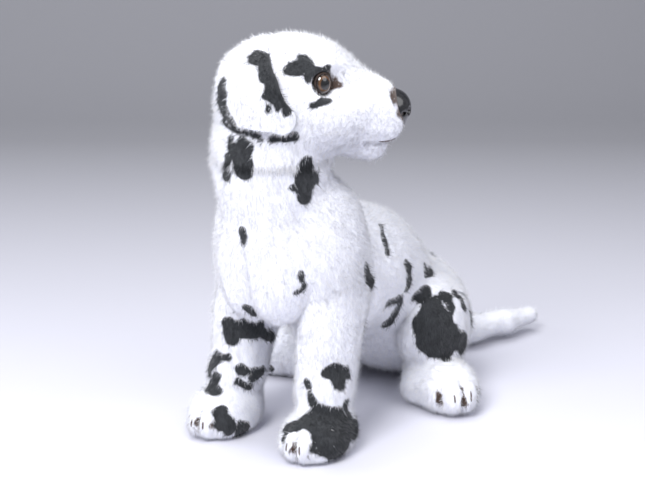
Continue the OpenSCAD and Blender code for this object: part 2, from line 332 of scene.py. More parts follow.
def band(first, rings, sides, closed=False):
    """Four-sided faces between rings of points, the first of which is point number first."""
    faces = []
    for i in range(rings if closed else rings - 1):
        here, beyond = first + i * sides, first + (i + 1) % rings * sides
        for k in range(sides):
            following = (k + 1) % sides
            faces.append((here + k, here + following, beyond + following, beyond + k))
    return faces


def tube_mesh(path, radius, sides=10):
    """Points and faces of a closed thread along a path, thinner at its two ends."""
    path = np.array(path, float)
    along = unit(np.gradient(path, axis=0))
    up = np.array([0.13, 0.31, 0.94])
    points, rings = [], len(path)
    for i in range(rings):
        side = np.cross(along[i], up)
        side /= np.linalg.norm(side)
        over = np.cross(side, along[i])
        end = min(i, rings - 1 - i)
        r = radius * min(1.0, 0.45 + 0.35 * end)
        for k in range(sides):
            a = math.tau * k / sides
            points.append(path[i] + r * (math.cos(a) * side + math.sin(a) * over))
    points.append(path[0] - along[0] * radius * 0.5)
    points.append(path[-1] + along[-1] * radius * 0.5)
    faces = band(0, rings, sides)
    first, last, start = len(points) - 2, len(points) - 1, (rings - 1) * sides
    for k in range(sides):
        faces.append((first, (k + 1) % sides, k))
        faces.append((last, start + k, start + (k + 1) % sides))
    return np.array(points), faces


def thread(name, paths, radius, material, place=same):
    """One piece of sewn thread, made of several short closed lengths."""
    points, faces = [], []
    for path in paths:
        p, one_length = tube_mesh(path, radius)
        base = len(points)
        points.extend(place(p) * MM)
        faces.extend([tuple(base + i for i in face) for face in one_length])
    return smooth_piece(name, [tuple(p) for p in points], faces, material)


# ---- body forms ----

PILE = 1.2                # how far the fabric lies under the ends of its pile
NECK_R = 41.5
STUMP_Z = 98              # how low the torso reaches inside a front leg


def neck_form(p):
    """A column about the neck axis, which narrows a little towards the shoulders."""
    q = p - [NECK[0], NECK[1], 0]
    away = np.hypot(q[:, 0], q[:, 1])
    wide = NECK_R - 5.5 * np.clip((NECK[2] - 8 - q[:, 2]) / 32, 0, 1)
    column = cut(24, away - wide, NECK[2] - 74 - q[:, 2])
    return cut(0.6, column, q[:, 2] - (NECK[2] - 0.2 + PILE))


def upper_leg(p):
    """The left front leg from the shoulder to the wrist."""
    top = blob(p, (34, -156, 150), (19, 33, 36))
    upper = blob(p, (35, -154, 110), (23, 35, 48))
    lower = blob(p, (37.5, -165, 66), (21, 27, 44))
    wrist = ball(p, (39.5, -174, 40), 19.5)
    return join(14, top, upper, lower, wrist)


def thigh_form(p):
    """The left thigh, a round pad about the line that the hind leg turns on."""
    return blob(p, (51, HIP[1] + 5, HIP[2] + 1), (28, 38, 37.5))


def torso_form(p):
    q = folded(p)
    rump = blob(q, (0, -2, 51), (59, 58, 50))
    middle = blob(q, (0, -60, 100), (52, 70, 49), rise=34)
    chest = blob(q, (0, -158, 140), (42, 48, 46))
    breast = blob(q, (11, -185, 129), (26, 27, 40))
    shoulder = blob(q, (14, -154, 164), (27, 33, 32))
    flank = blob(q, (17, -106, 110), (36, 58, 45))
    body = join(26, rump, middle, chest)
    body = join(14, body, flank)
    body = join(16, body, shoulder)
    body = cut(0.6, join(16, body, neck_form(p)), q[:, 2] - (NECK[2] - 0.2 + PILE))
    body = join(9, body, breast)
    root = upper_leg(q) + 5.0 * np.clip((122 - q[:, 2]) / 26, 0, 1) - 0.7
    behind = gate(q[:, 1], -150, 0, 8) * gate(q[:, 2], 60, 170, 8)
    below = gate(q[:, 2], 60, 126, 8)
    crease = ridge(root - body, 6) * np.maximum(0.5 * behind, below)
    stump = cut(10, root, STUMP_Z - q[:, 2])
    body = join(16, body, stump) + 1.6 * crease
    low_front = np.clip((88 - q[:, 2] + 0.5 * (-40 - q[:, 1])) / 26, 0, 1)
    hip = thigh_form(q) + 4.5 * low_front - 0.6
    body = join(14, body, hip)
    front = gate(q[:, 1], -260, -190, 6)
    centre = ridge(q[:, 0], 1.8) * gate(q[:, 2], 92, 159, 5) * front
    yoke_z = 160 - 0.012 * q[:, 0] ** 2
    yoke = ridge(q[:, 2] - yoke_z, 1.6) * gate(q[:, 0], -1, 32, 4) * front
    hem_z = 93 + 0.25 * (-186 - q[:, 1])
    hem = ridge(q[:, 2] - hem_z, 1.8) * gate(q[:, 1], -230, -176, 5)
    body = body + 0.9 * centre + 0.5 * yoke + 1.2 * hem
    body = body + 0.6 * wobble(p, 46, 11) + 0.2 * wobble(p, 17, 12) + PILE
    return cut(7, body, FLOOR - p[:, 2])


def front_leg_form(p):
    """The left front leg."""
    paw = blob(p, (41, -185, 11), (25, 34, 24))
    heel = ball(p, (41, -172, 16), 20)
    leg = join(9, upper_leg(p), heel, paw)
    seam = ridge(p[:, 1] + 160 + 0.12 * (p[:, 2] - 110), 2.0)
    leg = leg + 1.2 * seam * gate(p[:, 0], -30, 26, 5) * gate(p[:, 2], 24, 140, 6)
    for x in TOE_X:
        gap = p[:, 0] - 42 - x * (1 + (-205 - p[:, 1]) * 0.012)
        leg = leg + 2.8 * ridge(gap, 2.5) * gate(p[:, 1], -260, -208, 5)
    leg = leg + 0.5 * wobble(p, 30, 21) + 0.2 * wobble(p, 13, 22) + PILE
    return cut(7, leg, FLOOR - p[:, 2])


PAW_AT = np.array([42, -190, 0])
TOE_X = (-11, 0, 11)
HIND_TOE_X = (-16, -1, 14)
FOOT_AT = np.array([74.0, -52, 0])
FOOT_TURN = -38
TOE_THREAD_R = 0.65


def foot_frame(p):
    """Across, along and up from the middle of the left hind foot, whose toes are at -Y."""
    return turned(p - FOOT_AT, -math.radians(90 + FOOT_TURN))


def hind_leg_form(p):
    """The left hind leg: a round thigh on its hinge line, and the foot."""
    thigh = thigh_form(p)
    foot = blob(p, (72, -53, 14), (38, 26, 23), turn=FOOT_TURN)
    heel = blob(p, (51, -34, 20), (24, 24, 24))
    instep = ball(p, (54, -60, 13), 15)
    leg = join(5, thigh, join(8, foot, heel, instep))
    q = foot_frame(p)
    for x in HIND_TOE_X:
        gap = q[:, 0] - x * (1 + (-20 - q[:, 1]) * 0.012)
        leg = leg + 2.8 * ridge(gap, 2.6) * gate(q[:, 1], -60, -23, 5)
    leg = leg + 0.5 * wobble(p, 30, 31) + 0.2 * wobble(p, 13, 32) + PILE
    return cut(7, leg, FLOOR - p[:, 2])


def tail_form(p):
    root = bar(p, TAIL, 11.5, (24, 82, 15), 11.8)
    bend = bar(p, (24, 82, 15), 12, (40, 114, 15), 10)
    tip = bar(p, (40, 114, 15), 10, (50, 144, 14.5), 7.4)
    tail = join(6, root, bend, tip)
    tail = tail + 0.5 * wobble(p, 24, 41) + PILE * 0.8
    return cut(4, tail, FLOOR - p[:, 2])


# ---- head forms, in the head's frame ----

EYE_AT = np.array([25.0, -35.4, SKULL_Z + 10.8])
EYE_OUT = np.array([0.89, -0.453, 0.05])
EYE_R = 7.0
EYE_OVAL = 0.84
NOSE_AT = np.array([0.0, -84.8, SKULL_Z - 9.8])
NOSE_STEP = 0.65            # size of the nose's mesh
MOUTH_Z = SKULL_Z - 32.5


def head_form(p):
    q = folded(p)
    z = SKULL_Z
    skull = blob(q, (0, -1.5, z - 0.5), (39.5, 38.5, 39))
    crown = blob(q, (0, -20, z + 8), (32, 36, 31.5))
    brow = blob(q, (13, -31, z + 17), (13, 18, 12))
    bridge = bar(q, (0, -34, z + 2.5), 25.5, (0, -71, z - 8.5), 18.6)
    muzzle = blob(q, (0, -64, z - 12), (21, 24, 20))
    lip = blob(q, (8, -70, z - 20), (13, 21, 15))
    cheek = blob(q, (15, -28, z - 13), (24, 40, 25))
    jaw = bar(q, (0, -34, z - 25), 15.5, (0, -68.5, z - 34), 13.5)
    inside_neck = NECK[2] + 0.2 - PILE - q[:, 2]
    collar_r = NECK_R - 5 * np.clip((q[:, 2] - NECK[2] - 10) / 30, 0, 1)
    collar = cut(16, np.hypot(q[:, 0], q[:, 1]) - collar_r, q[:, 2] - z)
    collar = cut(0.6, collar, inside_neck)
    head = join(14, skull, crown, cheek)
    head = join(18, head, bridge)
    head = join(10, head, brow)
    head = join(14, head, muzzle)
    head = join(8, head, lip)
    hollow = blob(q, (29, -53, z + 12), (9, 13, 9))
    head = cut(9, head, -hollow)
    head = join(6, head, jaw)
    head = cut(0.6, join(12, head, collar), inside_neck)
    mouth = ridge(q[:, 2] - MOUTH_Z - 0.006 * (q[:, 1] + 76) ** 2, 1.5) * gate(q[:, 1], -120, -64, 4)
    head = head + 2.0 * mouth
    socket = ball(q, EYE_AT + EYE_OUT * 4.0, EYE_R + 0.4)
    head = cut(3, head, -socket)
    gusset = line_distance(-q[:, 1], q[:, 2] - z, ((2, 36), (24, 29), (42, 20), (62, 12), (80, 5)))
    head = head + 0.6 * ridge(gusset, 1.5) * gate(q[:, 0], 8, 80, 4)
    philtrum = ridge(q[:, 0], 1.3) * gate(q[:, 1], -130, -84, 3) * gate(q[:, 2], z - 36, z - 20, 3)
    head = head + 1.4 * philtrum
    return head + 0.35 * wobble(p, 30, 51) + 0.1 * wobble(p, 13, 52) + PILE


EAR_T = 2.2
EAR_OUTER_R, EAR_INNER_R = 42.8, 40.5
# The ear seen from the side: round corners as forward and up from the skull's middle, and radius
EAR_ROOT = ((-12, 27), 13)
EAR_MIDDLE = ((-14.5, 8), 21)
EAR_FRONT = ((9, -11), 8.5)
EAR_BACK = ((-20, -3), 13)


def ear_form(p, middle_r):
    """One of the two layers of the left ear: a flap that hangs round the side of the skull."""
    q = p - [0, 0, SKULL_Z]
    high = np.maximum(q[:, 2], 0)
    away = np.sqrt(q[:, 0] ** 2 + q[:, 1] ** 2 + high ** 2)
    drop = np.clip((30 - q[:, 2]) / 48, 0, 1)
    tuck = np.clip(q[:, 2] - 22, 0, 20)
    behind = np.clip((q[:, 1] - 6) / 26, 0, 1)
    flare = 2.4 * drop ** 2 * (1 - behind) - 0.30 * tuck - 3.4 * behind + 0.5 * wobble(p, 34, 61)
    fold_line = line_distance(-q[:, 1], q[:, 2], ((-20, 34), (-24, 12), (-29, -14)))
    flare = flare - 1.2 * ridge(fold_line, 3.0)
    shell = np.abs(away - middle_r - flare) - EAR_T / 2
    side_view = np.column_stack([-q[:, 1], q[:, 2], 0 * q[:, 0]])
    bars = []
    around = ((EAR_ROOT, EAR_MIDDLE), (EAR_MIDDLE, EAR_FRONT), (EAR_MIDDLE, EAR_BACK),
              (EAR_FRONT, EAR_BACK))
    for (a, ra), (b, rb) in around:
        bars.append(bar(side_view, (*a, 0), ra, (*b, 0), rb))
    outline = join(5, *bars) + 0.4 * wobble(p, 15, 62)
    return cut(1.4, shell, outline, 6 - q[:, 0])


def ear_outer(p):
    return ear_form(p, EAR_OUTER_R)


def ear_inner(p):
    return ear_form(p, EAR_INNER_R)


# ---- materials ----

class Look:
    """A material being built. An input of a node is a value, or the output of another node."""

    def __init__(self, name):
        self.material = bpy.data.materials.new(name)
        self.material.use_nodes = True
        self.tree = self.material.node_tree
        self.shader = self.tree.nodes["Principled BSDF"]

    def feed(self, node, inputs):
        for key, value in inputs.items():
            if isinstance(value, bpy.types.NodeSocket):
                self.tree.links.new(value, node.inputs[key])
            else:
                node.inputs[key].default_value = value

    def add(self, kind, out, inputs, **settings):
        """The output called out of a new node."""
        node = self.tree.nodes.new(f"ShaderNode{kind}")
        for key, value in settings.items():
            setattr(node, key, value)
        self.feed(node, inputs)
        return node.outputs[out]

    def where(self):
        return self.add("TexCoord", "Object", {})

    def noise(self, place, scale, detail):
        return self.add("TexNoise", "Fac", {"Vector": place, "Scale": scale, "Detail": detail})

    def maths(self, operation, *values):
        return self.add("Math", "Value", dict(enumerate(values)), operation=operation)

    def ramp(self, value, stops):
        colour = self.add("ValToRGB", "Color", {"Fac": value})
        elements = colour.node.color_ramp.elements
        while len(elements) < len(stops):
            elements.new(0.5)
        for element, (place, tone) in zip(elements, stops):
            element.position = place
            element.color = (*tone, 1)
        return colour

    def grained(self, colour, height, bump_m, strength=0.5):
        """Sets the colour, and bumps of bump_m metres."""
        bump = self.add("Bump", "Normal", {"Strength": strength, "Distance": bump_m, "Height": height})
        self.feed(self.shader, {"Base Color": colour, "Normal": bump})

    def finish(self, roughness, **others):
        self.feed(self.shader, {"Roughness": roughness})
        self.feed(self.shader, {key.replace("_", " "): value for key, value in others.items()})
        return self.material


WHITE = (0.90, 0.91, 0.96)
WHITE_SHADE = (0.74, 0.75, 0.84)
WHITE_WARM = (0.92, 0.90, 0.90)
BLACK = (0.013, 0.015, 0.018)
BLACK_SHADE = (0.030, 0.033, 0.038)
BROWN = (0.045, 0.026, 0.019)
TAN = (0.10, 0.062, 0.048)


def pile_fabric(name, ground, ground_shade, spots=True):
    """Short pile seen from above: fine fibres, tufts, and black and brown marks with feathered edges. The
    black ones are dyed spots, a dark line under the tail, and under the right ear partly painted shadow.
    """
    look = Look(name)
    where = look.where()
    along = look.add("Mapping", "Vector", {"Vector": where, "Scale": (900, 900, 260)})
    fibre, tuft = look.noise(along, 1.0, 3.0), look.noise(where, 170.0, 4.0)
    tone = look.add("Mix", "Result", {"Factor": 0.5, "A": fibre, "B": tuft}, data_type="FLOAT")
    colour = look.ramp(tone, [(0.30, ground_shade), (0.58, ground)])
    if spots:
        for mark, dark, light in (("brown", BROWN, TAN), ("spot_and_shade", BLACK, BLACK_SHADE)):
            depth = look.add("Attribute", "Fac", {}, attribute_name=mark)
            feather = look.maths("MULTIPLY_ADD", tone, -3.2, depth)
            edge = look.add("MapRange", "Result", {
                "Value": feather, "From Min": -2.3, "From Max": -0.7, "To Min": 1.0, "To Max": 0.0,
            })
            dye = look.ramp(tone, [(0.35, dark), (0.75, light)])
            colour = look.add("Mix", "Result", {"Factor": edge, "A": colour, "B": dye}, data_type="RGBA")
    look.grained(colour, tone, 0.0012)
    return look.finish(0.95, Sheen_Weight=0.25, Sheen_Roughness=0.6)


def strand_material(name, colour, sheen):
    """One tone of pile. The tones are mixed strand by strand."""
    look = Look(name)
    return look.finish(0.8, Base_Color=(*colour, 1), Sheen_Weight=sheen, Sheen_Roughness=0.5)


def speckled(name, colour, shade, scale, rough, bump_m, **others):
    """A solid-coloured material with a fine uneven grain."""
    look = Look(name)
    grain = look.noise(look.where(), scale, 5.0)
    look.grained(look.ramp(grain, [(0.35, shade), (0.65, colour)]), grain, bump_m, 0.6)
    return look.finish(rough, **others)


def woven(name, colour, shade, pitch_m):
    """Plain weave, for the pellet pouch."""
    look = Look(name)
    bands = {"Vector": look.where(), "Scale": 0.314 / pitch_m, "Distortion": 0.6}
    warp, weft = (look.add("TexWave", "Fac", bands, bands_direction=axis) for axis in ("X", "Z"))
    both = look.maths("MULTIPLY", warp, weft)
    look.grained(look.ramp(both, [(0.0, shade), (0.7, colour)]), both, pitch_m / 3)
    return look.finish(0.9)


def eye_material():
    """A black pupil, an amber iris with fine rays, and a dark rim under a clear gloss."""
    look = Look("eye_glass")
    flat = look.add("VectorMath", "Vector", {0: look.where(), 1: (1, 1, 0)}, operation="MULTIPLY")
    radius = look.add("VectorMath", "Value", {0: flat}, operation="LENGTH")
    rays = look.add("VectorMath", "Vector", {0: flat}, operation="NORMALIZE")
    share = look.maths("MULTIPLY", radius, 1 / (EYE_R * MM))
    wavy = look.maths("MULTIPLY_ADD", look.noise(rays, 9.0, 4.0), 0.06, share)
    rings = look.ramp(wavy, [
        (0.00, (0.004, 0.004, 0.004)), (0.52, (0.004, 0.004, 0.004)), (0.57, (0.03, 0.013, 0.005)),
        (0.68, (0.12, 0.054, 0.018)), (0.80, (0.07, 0.032, 0.011)), (0.88, (0.015, 0.008, 0.005)),
        (1.00, (0.006, 0.005, 0.005)),
    ])
    return look.finish(0.12, Base_Color=rings, Coat_Weight=1.0, Coat_Roughness=0.02)


FABRIC = pile_fabric("pile_fabric", WHITE, WHITE_SHADE)
LINING = pile_fabric("ear_lining_fabric", (0.86, 0.84, 0.88), (0.70, 0.68, 0.74), spots=False)
WHITES = [
    strand_material("pile_white", WHITE, 0.15),
    strand_material("pile_white_cool", (0.86, 0.88, 0.95), 0.15),
    strand_material("pile_white_warm", WHITE_WARM, 0.15),
]
BLACKS = [
    strand_material("pile_black", BLACK, 0.06),
    strand_material("pile_charcoal", BLACK_SHADE, 0.06),
]
BROWNS = [
    strand_material("pile_brown", BROWN, 0.06),
    strand_material("pile_tan", (0.095, 0.056, 0.042), 0.08),
]
TONES = WHITES + BLACKS + BROWNS
WADDING = speckled("wadding", (0.86, 0.86, 0.84), (0.66, 0.66, 0.66), 260, 0.95, 0.002)
POUCH = woven("pouch_weave", (0.72, 0.72, 0.76), (0.42, 0.42, 0.46), 0.0012)
BEADS = speckled("pellet_beads", (0.75, 0.76, 0.78), (0.35, 0.36, 0.38), 420, 0.45, 0.003)
PLASTIC = speckled("joint_plastic_shell", (0.80, 0.80, 0.78), (0.70, 0.70, 0.69), 900, 0.4, 0.0002)
THREAD = speckled("sewing_thread", (0.10, 0.052, 0.034), (0.045, 0.023, 0.015), 1500, 0.7, 0.0006)
NOSE = speckled(
    "nose_gloss", (0.012, 0.012, 0.013), (0.006, 0.006, 0.007), 700, 0.16, 0.0004,
    Coat_Weight=0.8, Coat_Roughness=0.06,
)
EYE_GLASS = eye_material()
RIM = speckled("eye_rim_suede", (0.06, 0.035, 0.025), (0.02, 0.012, 0.010), 1200, 0.7, 0.0005)


# ---- dyed spots, a thin dark line under the tail, and under the right ear partly painted shadow: round-ended marks as (start, end, radius), in each form's own frame ----

BODY_SPOTS = [
    # both sides of the neck
    ((37, -194, 207), (37, -192, 194), 7.5), ((36, -193, 190), (36, -192, 188), 4.5),
    ((33, -201, 195), (34, -199, 194), 3), ((39, -185, 206), (39, -185, 200), 4),
    ((6, -221, 206), (5, -221, 205), 4.5), ((-8, -220, 208), (-10, -219, 202), 3),
    ((-30, -150, 196), (-34, -156, 190), 6), ((-39, -186, 186), (-40, -184, 180), 3.5),
    # chest, and beside the near leg
    ((0, -215, 164), (0, -214, 156), 2.4),
    ((37, -198, 135), (36, -194, 125), 1.5), ((34, -197, 121), (36, -194, 124), 1.5),
    ((-5, -205, 106), (-3, -199, 99), 2),
    # left flank
    ((38, -93, 146), (44, -98, 138), 1.5), ((44, -98, 138), (48, -102, 129), 2),
    ((52, -79, 116), (52, -75, 104), 3.5), ((52, -75, 104), (51, -75, 96), 3),
    ((49, -45, 104), (50, -46, 99), 2.5), ((50, -44, 100), (48, -34, 99), 3),
    ((56, -144, 126), (51, -129, 114), 4),
    ((48, -99, 90), (48, -80, 87), 3), ((46, -79, 83), (30, -72, 60), 3.5),
    ((50, -59, 86), (54, -53, 86), 4),
    # right flank
    ((-50, -84, 118), (-52, -78, 106), 6), ((-44, -112, 138), (-42, -106, 142), 3),
    ((-54, -40, 90), (-54, -32, 84), 5), ((-48, -30, 104), (-46, -28, 106), 2.5),
    ((-50, -110, 92), (-50, -104, 86), 4),
    # back and seat
    ((-16, -96, 158), (-10, -88, 156), 5), ((18, -60, 142), (22, -54, 138), 3),
    ((-14, -30, 118), (-6, -24, 114), 7), ((14, 8, 98), (18, 14, 94), 5),
    ((-30, 30, 78), (-34, 28, 68), 7), ((30, 38, 58), (34, 34, 50), 5.5),
    ((-4, 50, 76), (0, 52, 72), 3), ((-46, 22, 40), (-48, 18, 34), 4),
    # left front leg: shoulder, and over the wrist
    ((55, -143, 127), (56, -140, 120), 4),
    ((54, -181, 62), (56, -179, 57), 6.5), ((51, -184, 62), (52, -184, 61), 4),
    ((57, -172, 60), (57, -172, 58), 3.5), ((58, -178, 52), (58, -178, 51), 3),
    # the black sock
    ((37, -192, 54), (43, -193, 42), 2), ((50, -194, 32), (59, -184, 29), 8.5),
    ((61, -174, 36), (61, -172, 27), 3), ((62, -186, 23), (65, -190, 11), 9),
    ((56, -198, 22), (58, -198, 20), 7), ((59, -188, 19), (60, -182, 20), 9.5),
    ((60, -204, 13), (63, -196, 8), 4.5), ((54, -211, 16), (58, -208, 14), 2.5),
    ((42, -202, 31), (44, -197, 33), 4.5), ((31, -207, 24), (36, -207, 28), 5),
    ((51, -200, 31), (57, -202, 18), 7.5), ((31, -211, 19), (31, -211, 17), 3.5),
    ((64, -172, 18), (60, -158, 16), 7),
    # behind it
    ((50, -138, 84), (46, -136, 76), 4.5),
    # right front leg, under the chest
    ((-31, -189, 82), (-30, -189, 75), 6), ((-25, -186, 81), (-18, -175, 79), 7),
    ((-16, -168, 74), (-18, -153, 67), 3.5), ((-32, -188, 97), (-22, -194, 100), 2.5),
    # above the wrist
    ((-42, -191, 58), (-50, -190, 46), 4.5), ((-36, -191, 59), (-32, -190, 60), 2),
    ((-48, -194, 34), (-40, -196, 34), 4.5), ((-42, -193, 43), (-42, -193, 41), 2.5),
    ((-24, -186, 50), (-22, -184, 48), 3.5), ((-19, -178, 44), (-17, -169, 44), 4.5),
    ((-26, -188, 42), (-21, -178, 34), 1.5),
    # paw
    ((-29, -208, 23), (-23, -205, 18), 4.5), ((-26, -210, 15), (-22, -204, 10), 4.5),
    ((-18, -194, 8), (-19, -192, 6), 6),
    # outer side
    ((-58, -158, 116), (-58, -150, 106), 6), ((-58, -168, 74), (-58, -162, 70), 4),
    ((-62, -180, 28), (-60, -172, 22), 5.5),
    # left thigh: the big spot, with the small ones beside it
    ((48, -55, 84), (52, -50, 85), 4),
    ((62, -56, 78), (67, -56, 73), 8.5), ((68, -61, 63), (70, -59, 55), 17),
    ((74, -52, 44), (74, -51, 42), 7), ((77, -32, 42), (76, -30, 40), 5.5),
    ((75, -47, 50), (77, -38, 48), 8), ((66, -43, 86), (73, -44, 77), 3.8),
    ((67, -30, 85), (74, -26, 71), 2.5), ((78, -16, 66), (78, -13, 54), 1.5),
    # right thigh and foot
    ((-78, -42, 62), (-78, -34, 52), 9), ((-70, -62, 72), (-72, -58, 66), 4),
    ((-66, -28, 84), (-70, -22, 78), 4.5), ((-60, -70, 36), (-64, -70, 32), 3),
    ((-92, -62, 30), (-88, -54, 32), 5), ((-75, -81, 10), (-73, -82, 8), 2),
]
TAIL_MARKS = [
    # the first mark is a thin dark line along the lower side of the tail, over its whole length
    ((40, 84, 7), (58, 128, 9), 1.6), ((16, 92, 20), (21, 100, 20), 4),
    ((6, 66, 22), (10, 72, 24), 3.5), ((38, 134, 17), (41, 139, 16), 3),
]
HEAD_SPOTS_AND_SHADOW = [
    # over and under the right eye
    ((-32, -17, 276), (-29, -23, 278), 5), ((-26, -22, 282), (-28, -26, 279), 3.5),
    ((-33, -12, 276), (-32, -15, 276), 2.5), ((-33, -26, 270), (-31, -29, 273), 3),
    ((-31, -30, 274), (-26, -38, 274), 2), ((-38, -30, 252), (-34, -41, 257), 1.5),
    # under the right ear: spots on the neck, and thin bars along the ear's lower edge that are partly
    # spots and partly the ear's painted shadow
    ((-39, 10, 232), (-40, 7, 232), 3), ((-41, -3, 231), (-39, -17, 231), 2.5),
    ((-41, 16, 235), (-38, 15, 233), 2.5),
    ((-36, 18, 222), (-36, 18, 214), 7.5), ((-37, 17, 210), (-37, 17, 208), 4.5),
    ((-32, 25, 223), (-33, 23, 220), 4), ((-30, 26, 229), (-31, 26, 226), 2),
    ((-29, 29, 214), (-28, 29, 206), 3), ((-32, -24, 209), (-33, -24, 206), 7),
    ((-25, 29, 239), (-29, 26, 236), 2.5), ((-29, 26, 236), (-36, 15, 234), 2),
    # the left side, and behind
    ((30, -20, 277), (33, -14, 272), 5), ((26, -26, 278), (28, -22, 280), 3),
    ((39, -14, 236), (38, -20, 232), 4), ((32, 24, 220), (34, 22, 212), 6),
    ((8, 38, 262), (12, 37, 254), 5.5), ((8, 39, 238), (12, 38, 234), 4),
    ((14, 20, 288), (18, 16, 288), 3.5), ((38, -38, 246), (36, -42, 244), 2),
]
EAR_RIGHT_SPOTS = [
    ((-31, 8, 285), (-33, 3, 281), 6.5), ((-37, 3, 278), (-40, 0, 273), 5),
    ((-43, -5, 268), (-43, -5, 266), 4.5), ((-44, -4, 263), (-45, -6, 258), 6.5),
    ((-44, -9, 257), (-44, -13, 249), 2), ((-46, 0, 253), (-46, 0, 251), 2),
    ((-24, 32, 262), (-25, 32, 254), 5), ((-25, 32, 252), (-27, 31, 245), 4),
    ((-29, 28, 243), (-36, 24, 239), 2),
]
EAR_LEFT_SPOTS = [
    ((43, 2, 267), (44, 5, 260), 7), ((38, -4, 278), (40, -5, 273), 4),
    ((38, 24, 254), (40, 20, 249), 5), ((47, -10, 242), (47, -6, 240), 4),
    ((36, 14, 276), (35, 16, 277), 2.5),
]
SPOTS_AND_SHADE = {
    "torso": BODY_SPOTS, "tail": TAIL_MARKS, "head": HEAD_SPOTS_AND_SHADOW,
    "front_left": BODY_SPOTS, "front_right": BODY_SPOTS,
    "hind_left": BODY_SPOTS, "hind_right": BODY_SPOTS,
    "ear_left": EAR_LEFT_SPOTS, "ear_right": EAR_RIGHT_SPOTS,
}
MARK_REACH = 6              # how far a mark may lie from a form that shows it


def settled_marks(form, marks):
    """The marks that lie near a form, moved onto its surface."""
    ends = np.array([mark[:2] for mark in marks], float).reshape(-1, 3)
    found = on_surface(form, ends)
    moved = size_of(found - ends).reshape(-1, 2).max(1)
    found = found.reshape(-1, 2, 3)
    return [(*found[i], marks[i][2]) for i in range(len(marks)) if moved[i] < MARK_REACH]


def mark_depth(p, marks, seed):
    """Distance to the nearest of the marks, negative inside one, with a ragged edge."""
    depth = np.full(len(p), 30.0)
    for start, end, r in marks:
        depth = np.minimum(depth, bar(p, start, r, end + 1e-6, r))
    return depth - 0.9 + 1.5 * wobble(p, 12, seed) + 0.6 * wobble(p, 5, seed + 1)


def face_brown(p):
    """Brown dye round the eyes, behind the nose and along the mouth, in the head's frame."""
    q = folded(p)
    eye = ball(q, EYE_AT, EYE_R + 1.6)
    tear = bar(q, EYE_AT + [-3.5, -6, -1.5], 3.6, EYE_AT + [-5.5, -12.5, -2], 2.2)
    lid = bar(q, EYE_AT + [-2, -3.5, 6.5], 2.4, EYE_AT + [-4, -8, 1], 2.4)
    tear = np.minimum(tear, lid)
    above = np.clip((NOSE_AT[2] + 2 - p[:, 2]) / 10, 0, 1)
    nose = nose_form(p) - 1.9 + 1.6 * above + 1.3 * wobble(p, 9, 77)
    mouth = bar(q, (3, -88, MOUTH_Z + 1), 1.6, (11, -80, MOUTH_Z + 2), 1.4)
    return np.minimum(np.minimum(eye, tear), np.minimum(nose, mouth))


def foot_brown(q, gaps, low, z):
    """Brown dye between the toes, in a frame whose -Y runs along the foot."""
    depth = np.full(len(q), 30.0)
    for x, wide in zip(gaps, (2.8, 3.4, 2.6)):
        side, tip = 1.1 * x, low + 0.03 * x * x
        depth = np.minimum(depth, bar(q, (side, tip, z), wide, (side, tip + 5, z + 8), 1.8))
    return depth + 1.2 * wobble(q, 8, 79)


def front_foot_brown(p):
    return foot_brown(p - PAW_AT, TOE_X, -30, 9)


def hind_foot_brown(p):
    return foot_brown(foot_frame(p), HIND_TOE_X, -34, 13)


BROWN_FIELDS = {"head": face_brown}
for side in FLIPS:
    BROWN_FIELDS[f"front_{side}"] = sided(front_foot_brown, side)
    BROWN_FIELDS[f"hind_{side}"] = sided(hind_foot_brown, side)


# ---- soft pieces ----

class Skin:
    """A meshed form, with what its strands need to know."""

    def __init__(self, name, key, form, low, high, step, place=same, lean=same, fabric=FABRIC):
        self.key, self.form, self.place, self.lean = key, form, place, lean
        self.points, self.faces = surface(form, low, high, step)
        self.marks = settled_marks(form, SPOTS_AND_SHADE[key]) if key in SPOTS_AND_SHADE else []
        self.piece = make_mesh(name, self.points, self.faces, place, [fabric])
        add_values(self.piece, "spot_and_shade", self.spot_and_shade(self.points))
        add_values(self.piece, "brown", self.brown(self.points))

    def spot_and_shade(self, p):
        return mark_depth(p, self.marks, 71)

    def brown(self, p):
        field = BROWN_FIELDS.get(self.key)
        depth = field(p) if field else np.full(len(p), 30.0)
        return depth + 0.9 * wobble(p, 7, 75)


STRAY_SHARE = 0.15          # part of the strands that stand up from the nap
STRAY_TALL = 1.6            # how much longer those are
LIE, STAND = 0.5, 1.2       # how steeply the others and the strays rise
SWIRL, TILT = 0.22, 0.26    # how much the nap wanders, and how much each strand does
TALL = (0.65, 1.15)         # shortest and longest strand, as shares of the pile's length
STRAND_R = (0.12, 0.20)     # radius at the root
ROOT = 0.5                  # how deep a strand starts under the fabric
DYE_AND_SHADE_BLUR = 0.8              # how far strands of a dark mark's colour stray past its edge
BROWN_BLUR = 1.4            # the same for brown, as a share of that
SHADE_BLUR = 0.13           # how unevenly the strands catch the light
PART_STRANDS = 45000        # the most strands in one piece of pile
SPIKE = np.array([[0, 1, 3], [1, 2, 3], [2, 0, 3], [0, 2, 1]])


